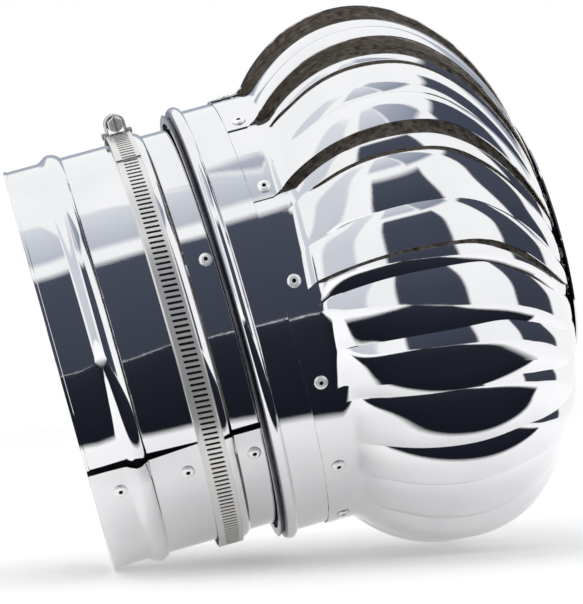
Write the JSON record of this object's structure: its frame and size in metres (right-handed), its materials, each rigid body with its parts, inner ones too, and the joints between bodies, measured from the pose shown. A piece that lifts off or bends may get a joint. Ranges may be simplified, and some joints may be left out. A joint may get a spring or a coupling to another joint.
{
  "type": "roof turbine ventilator",
  "caption": "Wind-driven roof ventilator: an onion-shaped head of overlapping curved sheet vanes turns on ball bearings over a round throat tube with a worm-drive clamp",
  "frame": {"origin": "centre of the throat tube's open rim, on the spin axis", "axes": "+Z is the spin axis, from the throat's rim up to the cap; +X and +Y lie in the rim's plane, and the tube's seam is on the -Y side"},
  "size_m": [0.2712, 0.275, 0.2556],
  "materials": {
    "polished_sheet": "mirror-polished stainless sheet",
    "plain_steel": "plain",
    "rivet": "bright",
    "clamp_steel": "satin",
    "bearing_steel": "ground",
    "cage_brass": "plain"
  },
  "bodies": {
    "base": {"base_tube": "polished_sheet", "seam_rivets": "rivet", "base_spider": "plain_steel", "spider_rivets": "rivet", "spider_washers": "plain_steel", "spider_nuts": "plain_steel", "shaft": "plain_steel", "bearing_nut": "plain_steel", "spacer_sleeve": "plain_steel", "top_lock_nut": "plain_steel", "lower_inner_race": "bearing_steel", "upper_inner_race": "bearing_steel", "clamp_band": "clamp_steel", "clamp_housing": "clamp_steel"},
    "rotor": {"rotor_collar": "polished_sheet", "cross_strap": "plain_steel", "lower_bearing_cup": "plain_steel", "upper_bearing_cup": "plain_steel", "cup_rivets": "rivet", "lower_outer_race": "bearing_steel", "upper_outer_race": "bearing_steel", "inner_plate": "plain_steel", "top_plate": "polished_sheet", "top_cap": "polished_sheet", "vane_foot_rivets": "rivet", "vane_tip_rivets": "rivet", "vane_01": "polished_sheet", "vane_02": "polished_sheet", "vane_03": "polished_sheet", "vane_04": "polished_sheet", "vane_05": "polished_sheet", "vane_06": "polished_sheet", "vane_07": "polished_sheet", "vane_08": "polished_sheet", "vane_09": "polished_sheet", "vane_10": "polished_sheet", "vane_11": "polished_sheet", "vane_12": "polished_sheet", "vane_13": "polished_sheet", "vane_14": "polished_sheet"},
    "lower_ball_set": {"lower_balls": "bearing_steel", "lower_cage": "cage_brass"},
    "upper_ball_set": {"upper_balls": "bearing_steel", "upper_cage": "cage_brass"},
    "clamp_worm": {"clamp_screw": "clamp_steel"}
  },
  "joints": [
    {"name": "rotor_spin", "type": "hinge", "parent": "base", "child": "rotor", "pos_m": [0, 0, 0.12], "axis": [0, 0, 1], "continuous": true},
    {"name": "lower_balls_roll", "type": "hinge", "parent": "base", "child": "lower_ball_set", "pos_m": [0, 0, 0.123], "axis": [0, 0, 1], "continuous": true},
    {"name": "upper_balls_roll", "type": "hinge", "parent": "base", "child": "upper_ball_set", "pos_m": [0, 0, 0.24075], "axis": [0, 0, 1], "continuous": true},
    {"name": "clamp_screw_turn", "type": "hinge", "parent": "base", "child": "clamp_worm", "pos_m": [-0.10888, -0.01337, 0.0586], "axis": [0.1219, -0.9925, 0], "continuous": true}
  ],
  "couplings": [
    {"joint": "lower_balls_roll", "follows": "rotor_spin", "ratio": 0.6281},
    {"joint": "upper_balls_roll", "follows": "rotor_spin", "ratio": 0.6281}
  ]
}
